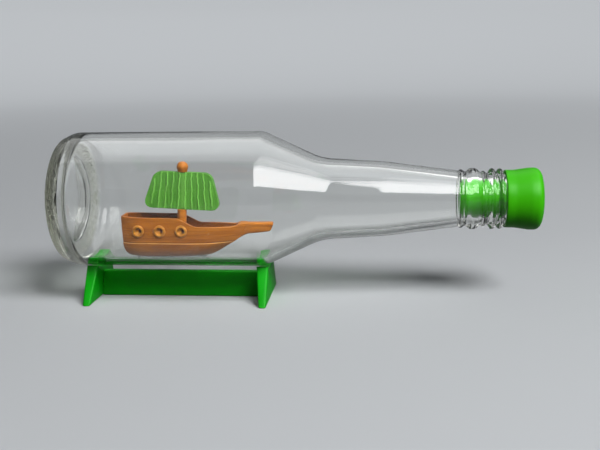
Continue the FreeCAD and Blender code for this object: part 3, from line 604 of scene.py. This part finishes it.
def bottle():
    """The blown bottle: one closed skin of glass, outside and inside."""
    outside = [
        *dish(0, 21.25, 4.0),
        (0, 23.2, 1.2),
        (1.9, 27.6, 4.0),
        (7.75, BODY_RADIUS, 9.0),
        (93.6, BODY_RADIUS, 10.0),
        (119.6, 18.3, 26.0),
        (148.0, 16.6, 90.0),
        (179.7, 12.45, 0.3),
        *finish_ring(20.1, 2.4, 0.8, 12.95, 12.3, 0.4),
        *finish_ring(16.8, 6.2, 2.6, 13.5, 11.9, 1.6),
        *finish_ring(10.2, 2.1, 0.7, 12.3, 11.6, 0.4),
        (LENGTH - 7.9, 10.95, 0.5),
        *finish_ring(7.1, 3.4, 1.2, 13.4, 11.7, 0.8),
        *finish_ring(3.5, 3.0, 1.0, 13.3, 12.0, 0.7),
    ]
    inside = [
        (LENGTH, 11.3, 0.5),
        (LENGTH, 8.7, 0.6),
        (184.0, 8.7, 20.0),
        (147.4, 13.7, 80.0),
        (118.96, 15.4, 26.0),
        (92.96, BODY_RADIUS - WALL, 7.5),
        (10.6, BODY_RADIUS - WALL, 5.5),
        (6.6, 22.5, 3.0),
        *reversed(dish(6.4, 19.6, 9.0)),
    ]
    points = evenly(half_section(outside + inside), longest=1.7)
    piece = lathe("bottle_glass_wall", points, turns=160)
    stipple_heel(piece)
    set_along(piece, (BASE, 0, AXIS_HEIGHT))
    smooth(piece, 40)
    finished_in(piece, GLASS)
    belongs(piece, "bottle", "bottle_glass", "bottle")


def stipple_heel(piece):
    """Raise the irregular stippling that runs round the outside of the heel."""
    dish_rim = 20.5 * MM
    reach = 9.0 * MM
    fading = 4.0 * MM
    outward = 0.2
    heel = piece.vertex_groups.new(name="heel")
    for vertex in piece.data.vertices:
        radius = math.hypot(vertex.co.y, vertex.co.z)
        if radius > dish_rim and vertex.co.x < reach and vertex.normal.x < outward:
            fade = min(1.0, (reach - vertex.co.x) / fading)
            heel.add([vertex.index], fade, "REPLACE")
    texture = bpy.data.textures.new("heel_stipple", "CLOUDS")
    texture.noise_scale = 0.6 * MM
    texture.noise_depth = 1
    modify(piece, "DISPLACE", texture=texture, texture_coords="LOCAL", vertex_group="heel",
           strength=0.3 * MM, mid_level=0.5)


# ---------------------------------------------------------------- stopper

def stopper():
    """The moulded stopper, turned in one piece: flared head, domed end and hollow shank."""
    shank = 8.65
    hollow = shank - 2.0
    shank_end = -19.4
    corners = [
        *dish(15.7, 10.6, 16.05),
        (15.7, 13.65, 3.1),
        (10.5, 13.65, 12.0),
        (4.0, 12.7, 12.0),
        (0, 12.7, 0.5),
        (0, shank, 0.2),
        (-18.2, shank, 0.5),
        (shank_end, shank - 0.6, 0.3),
        (shank_end, hollow, 0.3),
        (5.0, hollow, 0.8),
        (6.0, 0),
    ]
    piece = lathe("stopper_moulding", evenly(half_section(corners), longest=1.5), turns=128)
    set_along(piece, (LIP, 0, AXIS_HEIGHT))
    smooth(piece, 40)
    finished_in(piece, STOPPER_GREEN)
    belongs(piece, "stopper", "stopper_green", "stopper")


# ---------------------------------------------------------------- stand

def cradle(node, foot_x, inward):
    """One end of the stand: splayed sides, thicker towards the top, and a round saddle."""
    blank = 18.0 * MM
    thick, top_thick = 3.4, 5.6
    deep, top_deep = 40.0, 17.94
    lean = 0.9 * MM * inward
    saddle_rim = 9.8 * MM
    foot = Vector((foot_x, 0, blank / 2))
    put_down()
    bpy.ops.mesh.primitive_cube_add(size=1, location=foot, scale=(thick * MM, deep * MM, blank))
    piece = named(f"{node}_moulding")
    apply_place(piece)
    edit(piece, "FACE", lambda place: place.z > blank - 0.5 * MM)
    bpy.ops.transform.resize(value=(top_thick / thick, top_deep / deep, 1), center_override=foot)
    bpy.ops.transform.translate(value=(lean, 0, 0))
    finish_edit()
    bpy.ops.mesh.primitive_cylinder_add(
        vertices=240, radius=(BODY_RADIUS + 0.25) * MM, depth=20 * MM,
        location=(foot_x, 0, AXIS_HEIGHT), rotation=(0, math.pi / 2, 0))
    cutter = named("saddle_cutter")
    modify(piece, "BOOLEAN", object=cutter, operation="DIFFERENCE", solver="EXACT")
    bpy.data.objects.remove(cutter)
    edit(piece, "EDGE", lambda place: abs(abs(place.y) - saddle_rim) < 0.15 * MM
         and abs(place.x - foot_x - lean) < 0.5 * MM)
    bpy.ops.mesh.bevel(offset=1.5 * MM, segments=6, affect="EDGES")
    finish_edit()
    modify(piece, "BEVEL", width=0.75 * MM, segments=4, limit_method="ANGLE",
           angle_limit=math.radians(40), use_clamp_overlap=False)
    smooth(piece, 30)
    finished_in(piece, STAND_GREEN)
    belongs(piece, "stand", "stand_green", node)


def stretcher(left, right):
    """The upright panel between the cradles, its ends slanted against their inner faces."""
    low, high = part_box("stretcher")
    halfway = (left + right) / 2
    between_feet = right - left - 3.3 * MM
    slant = 1.35 * MM
    put_down()
    bpy.ops.mesh.primitive_cube_add(
        size=1, location=(halfway, 0, (low.z + high.z) / 2),
        scale=(between_feet, high.y - low.y, high.z - low.z))
    piece = named("stretcher_moulding")
    apply_place(piece)
    for side in (-1, 1):
        edit(piece, "VERT", lambda place, side=side: place.z > 5 * MM
             and place.x * side > halfway * side)
        bpy.ops.transform.translate(value=(-slant * side, 0, 0))
        finish_edit()
    modify(piece, "BEVEL", width=0.8 * MM, segments=4, limit_method="ANGLE",
           angle_limit=math.radians(40))
    smooth(piece, 30)
    finished_in(piece, STAND_GREEN)
    belongs(piece, "stand", "stand_green", "stretcher")


# ---------------------------------------------------------------- ship

def hull(node, name):
    """A soft-edged copy of a CAD node's form."""
    put_down()
    piece = bpy.data.objects.new(name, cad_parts[node].data.copy())
    bpy.context.scene.collection.objects.link(piece)
    piece.data.name = name
    edit(piece)
    bpy.ops.mesh.remove_doubles(threshold=0.002 * MM)
    finish_edit()
    soften(piece, voxel=0.19 * MM, passes=2)
    smooth(piece, 180)
    finished_in(piece, SHIP_BROWN)
    belongs(piece, "bottle", "ship_brown", node)


def porthole(node):
    """A raised round ring: a torus with its back cut flat against the side."""
    low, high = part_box(node)
    side = 1 if low.y > 0 else -1
    seat = low.y if side > 0 else high.y
    proud = 0.62 * MM
    outer = (high.x - low.x) / 2 + 0.12 * MM
    bore = 1.38 * MM
    bead = (outer - bore) / 2
    centre = Vector(((low.x + high.x) / 2, seat + side * proud, (low.z + high.z) / 2))
    put_down()
    bpy.ops.mesh.primitive_torus_add(
        major_radius=bore + bead, minor_radius=bead, major_segments=48, minor_segments=20,
        location=centre, rotation=(math.pi / 2, 0, 0))
    piece = named(f"{node}_ring")
    apply_place(piece)
    edit(piece)
    bpy.ops.mesh.bisect(plane_co=(centre.x, seat, centre.z), plane_no=(0, side, 0),
                        use_fill=True, clear_inner=True)
    finish_edit()
    smooth(piece, 50)
    finished_in(piece, RING_BROWN_PAINTED_LIGHT)
    belongs(piece, "bottle", "ship_brown", node)


def turned_up(name, corners):
    """A piece turned round the raked mast, its half section measured up it from the keel."""
    piece = lathe(name, half_section(corners), turns=64)
    set_along(piece, MAST_FOOT, RAKE - math.pi / 2)
    smooth(piece, 40)
    finished_in(piece, SHIP_BROWN)
    return piece


def mast():
    """The round mast, thinner above the shoulder that carries the sail."""
    foot, shoulder, tip = 2.8, 22.15, 41.2
    wide, narrow = 2.1, 0.95
    piece = turned_up("mast_turning", [
        (foot, 0),
        (foot, wide, 0.2),
        (shoulder, wide, 0.35),
        (shoulder, narrow, 0.1),
        (tip, narrow),
        (tip, 0),
    ])
    belongs(piece, "bottle", "ship_brown", "mast")


def mast_ball():
    """The ball on the mast's tip, on a short round neck."""
    radius = 2.6
    neck = 2.25
    seat = 39.25
    start_height = seat + 0.8
    centre = start_height + math.sqrt(radius * radius - neck * neck)
    start = math.acos((start_height - centre) / radius)
    steps = 20
    crown = [(centre + radius * math.cos(start * (1 - i / steps)),
              radius * math.sin(start * (1 - i / steps))) for i in range(steps + 1)]
    piece = turned_up("mast_ball_turning", [(seat, 0), (seat, neck, 0.3), *crown])
    belongs(piece, "bottle", "ship_brown", "mast_ball")


# ---------------------------------------------------------------- sail

RIBS = 10
LAST_RIB = (RIBS - 1) / 2
SAIL_HEIGHT = 17.0
HALF_FOOT = 18.1
HALF_HEAD = 13.0
HEAD_SHIFT = 0.4
SAIL_SEAT = 22.2


def sail():
    """The moulded sail: a soft-edged slab, a swelling over the spindle and wavy ribs round it."""
    foot_corner, head_corner = 4.4, 3.2
    middle_z = SAIL_HEIGHT / 2 * MM
    put_down()
    bpy.ops.mesh.primitive_cube_add(
        size=1, location=(0, 0, middle_z),
        scale=(2 * HALF_FOOT * MM, 2 * SAIL_HALF_THICK * MM, SAIL_HEIGHT * MM))
    slab = named("sail_moulding")
    apply_place(slab)
    edit(slab, "FACE", lambda place: place.z > SAIL_HEIGHT * MM * 0.9)
    bpy.ops.transform.resize(value=(HALF_HEAD / HALF_FOOT, 1, 1), center_override=(0, 0, 0))
    bpy.ops.transform.translate(value=(HEAD_SHIFT * MM, 0, 0))
    finish_edit()
    for level, radius in ((0, foot_corner), (SAIL_HEIGHT, head_corner)):
        edit(slab, "EDGE", lambda place, z=level: abs(place.z - z * MM) < 0.1 * MM
             and abs(place.y) < 0.1 * MM and abs(place.x) > 5 * MM)
        bpy.ops.mesh.bevel(offset=radius * MM, segments=10, affect="EDGES")
        finish_edit()
    bpy.ops.mesh.primitive_cylinder_add(
        vertices=48, radius=1.7 * MM, depth=(SAIL_HEIGHT - 1.2) * MM,
        location=(0.9 * MM, 0, middle_z), scale=(2.6, 1, 1))
    swelling = named("sail_swelling")
    apply_place(swelling)
    ribs = [sail_rib(i - LAST_RIB) for i in range(RIBS)]
    piece = join(slab, swelling, *ribs)
    soften(piece, voxel=0.15 * MM, passes=1)
    up_mast = Vector((math.sin(RAKE), 0, math.cos(RAKE)))
    set_along(piece, MAST_FOOT + up_mast * SAIL_SEAT * MM, RAKE)
    smooth(piece, 180)
    finished_in(piece, SAIL_GREEN)
    belongs(piece, "sail", "sail_green", "sail")


def sail_rib(number):
    """One wavy rib, a cord that runs down one face, under the foot and up the other."""
    low, high = 0.25, SAIL_HEIGHT - 0.25
    if abs(number) == LAST_RIB:
        low, high = 2.0, SAIL_HEIGHT - 3.6
    proud = SAIL_HALF_THICK + 0.14
    foot_pitch, head_pitch = 3.15, 2.7
    rows = 12
    levels = [low + (high - low) * i / rows for i in range(rows + 1)]
    path = []
    for face in (-1, 1):
        for level in (levels if face < 0 else reversed(levels)):
            share = level / SAIL_HEIGHT
            pitch = foot_pitch + (head_pitch - foot_pitch) * share
            fan = number * pitch + HEAD_SHIFT * share
            ripple = 0.12 * math.sin(1.9 * level + 2.7 * number + face)
            sway = 0.14 * math.sin(0.7 * level * face + number)
            path.append((fan + (ripple + sway), face * proud, level))
    curve = bpy.data.curves.new("rib", "CURVE")
    curve.dimensions = "3D"
    spline = curve.splines.new("POLY")
    spline.points.add(len(path) - 1)
    for point, place in zip(spline.points, path):
        point.co = (*(Vector(place) * MM), 1)
    spline.use_cyclic_u = True
    curve.bevel_depth = 0.31 * MM
    curve.bevel_resolution = 3
    rib = bpy.data.objects.new("rib", curve)
    bpy.context.scene.collection.objects.link(rib)
    pick_up(rib)
    bpy.ops.object.convert(target="MESH")
    return rib


# ---------------------------------------------------------------- floor, lamps and camera

# The lamps light the floor round BELOW_LAMPS. Farther off, from GLOW_START to GLOW_FULL metres,
# it takes on FAR_GLOW, so that it is pale from every side.
BELOW_LAMPS = (0.2, -1.0, 0.0)
GLOW_START, GLOW_FULL = 1.15, 3.0
FAR_GLOW = 0.44
# What mirrored rays show of floor and air, and what a ray keeps after a mirroring in the glass.
MIRRORED_GLOW = 0.14
INNER_MIRROR = 0.8
# The air's even light on everything, and its strength for the rays that show it.
AIR_FILL = 0.08
AIR_SHOWN = 0.5


def showing_rays(tree):
    """Two masks: rays that show the background straight or through glass, and mirrored ones.

    Rays that have met a matt surface are in neither, and so bring it no extra light.
    """
    rays = tree.nodes.new("ShaderNodeLightPath").outputs
    straight = computed(tree, "MAXIMUM", rays["Is Camera Ray"], rays["Is Transmission Ray"])
    unlit = computed(tree, "LESS_THAN", rays["Diffuse Depth"], 0.5)
    mirrored = computed(tree, "MULTIPLY", rays["Is Glossy Ray"], unlit)
    inside_glass = ranged(tree, rays["Glossy Depth"], 0.0, 1.0, 1.0, INNER_MIRROR)
    straight = computed(tree, "MULTIPLY", computed(tree, "MULTIPLY", straight, unlit), inside_glass)
    rest = computed(tree, "SUBTRACT", 1.0, straight)
    return straight, computed(tree, "MINIMUM", mirrored, rest)


def pale_floor():
    """A plain floor, pale for every ray that shows it; it glows where the lamps don't reach."""
    hidden, shown = (0.06, 0.062, 0.065, 1), (0.55, 0.57, 0.59, 1)
    material, tree, shader = new_material("pale_floor")
    shader.inputs["Roughness"].default_value = 0.9
    shader.inputs["Specular IOR Level"].default_value = 0.1
    seen, mirrored = showing_rays(tree)
    tree.links.new(mixed(tree, seen, hidden, shown), shader.inputs["Base Color"])
    where = coordinates(tree)
    distance = tree.nodes.new("ShaderNodeVectorMath")
    distance.operation = "DISTANCE"
    distance.inputs[1].default_value = BELOW_LAMPS
    tree.links.new(where, distance.inputs[0])
    far = ranged(tree, distance.outputs["Value"], GLOW_START, GLOW_FULL, 0.0, FAR_GLOW)
    up_wall = ranged(tree, apart(tree, where)["Z"], 0.02, 0.3, 1.0, 0.78)
    far = computed(tree, "MULTIPLY", far, up_wall)
    shader.inputs["Emission Color"].default_value = (0.92, 0.96, 1.0, 1)
    glow = computed(tree, "ADD", computed(tree, "MULTIPLY", seen, far),
                    computed(tree, "MULTIPLY", mirrored, MIRRORED_GLOW))
    tree.links.new(glow, shader.inputs["Emission Strength"])
    return material


def studio():
    """A round floor that sweeps up into a wall all round, and the air above it."""
    flat, bend, wall_top = 1.5, 0.7, 1.1
    turn_steps = 16
    points = [Vector((0.0, 0.0)), Vector((0.0, flat))]
    for i in range(turn_steps + 1):
        angle = math.pi / 2 * i / turn_steps
        points.append(Vector((bend * (1 - math.cos(angle)), flat + bend * math.sin(angle))))
    points.append(Vector((wall_top, flat + bend)))
    floor = lathe("studio_floor", [Vector((p.x / MM, p.y / MM)) for p in points], turns=96)
    set_along(floor, (0, 0, 0), -math.pi / 2)
    smooth(floor, 180)
    finished_in(floor, pale_floor())
    world = bpy.data.worlds.new("studio_air")
    bpy.context.scene.world = world
    world.use_nodes = True
    tree = world.node_tree
    air = tree.nodes["Background"].inputs
    air["Color"].default_value = (0.93, 0.97, 1.0, 1)
    seen, mirrored = showing_rays(tree)
    strength = computed(tree, "MAXIMUM", computed(tree, "MULTIPLY", seen, AIR_SHOWN),
                        computed(tree, "MULTIPLY", mirrored, MIRRORED_GLOW))
    tree.links.new(computed(tree, "MAXIMUM", strength, AIR_FILL), air["Strength"])


def softbox(name, place, target, width, height, radiance, roll=0.0):
    """A flat lamp that faces a point, as bright all over as `radiance`; roll turns its frame."""
    data = bpy.data.lights.new(name, "AREA")
    data.shape = "RECTANGLE"
    data.size = width
    data.size_y = height
    data.energy = radiance * math.pi * width * height
    lamp = bpy.data.objects.new(name, data)
    bpy.context.scene.collection.objects.link(lamp)
    lamp.location = place
    aim = (Vector(target) - Vector(place)).to_track_quat("-Z", "Y")
    lamp.rotation_euler = (aim @ Quaternion((0, 0, 1), math.radians(roll))).to_euler()
    return lamp


def lamps():
    """One lamp that lights the surfaces, and three panels that only reflections and glass show.

    The bright core stands behind the front panel, so that it never hides it.
    """
    target = (0, 0, AXIS_HEIGHT)
    front = (0.805, -0.86, 1.15)
    behind = (0.83, -0.887, 1.185)
    roll = -16
    core = softbox("front_core", behind, target, 0.9, 0.6, radiance=19.0, roll=roll)
    core.visible_glossy = False
    core.visible_transmission = False
    panel = softbox("front_softbox", front, target, 1.4, 1.0, radiance=6.9, roll=roll)
    panel.visible_diffuse = False
    above = panel.rotation_euler.to_matrix() @ Vector((0, 0.72, 0))
    fade = softbox("front_fade", Vector(front) + above, target, 1.4, 0.44, radiance=2.0, roll=roll)
    fade.visible_diffuse = False
    overhead = softbox("overhead_softbox", (0.0, 0.38, 1.45), target, 2.8, 1.75, radiance=1.0)
    overhead.visible_diffuse = False


def camera():
    """The camera of the picture: its place and aim were fitted to the bottle and the stand."""
    place = Vector((37.96 * MM, -376.17 * MM, 112.47 * MM))
    yaw = math.radians(5.54)
    pitch = math.radians(11.78)
    roll = math.radians(-0.98)
    forward = Vector((-math.sin(yaw) * math.cos(pitch), math.cos(yaw) * math.cos(pitch),
                      -math.sin(pitch)))
    right = Vector((math.cos(yaw), math.sin(yaw), 0))
    up = right.cross(forward)
    across = right * math.cos(roll) + up * math.sin(roll)
    upright = up * math.cos(roll) - right * math.sin(roll)
    data = bpy.data.cameras.new("camera")
    data.lens = 51.0
    data.sensor_width = 36.0
    data.clip_start = 0.01
    eye = bpy.data.objects.new("camera", data)
    bpy.context.scene.collection.objects.link(eye)
    turn = Matrix((across, upright, -forward)).transposed()
    eye.matrix_world = Matrix.Translation(place) @ turn.to_4x4()
    bpy.context.scene.camera = eye


# ---------------------------------------------------------------- the whole object

bottle()
stopper()
cradle("cradle_left", LEFT_FOOT, 1)
cradle("cradle_right", RIGHT_FOOT, -1)
stretcher(LEFT_FOOT, RIGHT_FOOT)
hull("hull_topsides", "topsides_moulding")
hull("hull_bottom", "bottom_moulding")
for hand in ("port", "starboard"):
    for count in (1, 2, 3):
        porthole(f"porthole_{hand}_{count}")
mast()
mast_ball()
sail()
for node in ("deck", "mast_step"):
    finished_in(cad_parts[node], SHIP_BROWN)
finished_in(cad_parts["keel_bed"], ADHESIVE)
studio()
lamps()
camera()

bpy.context.scene.view_settings.view_transform = "Standard"

put_down()
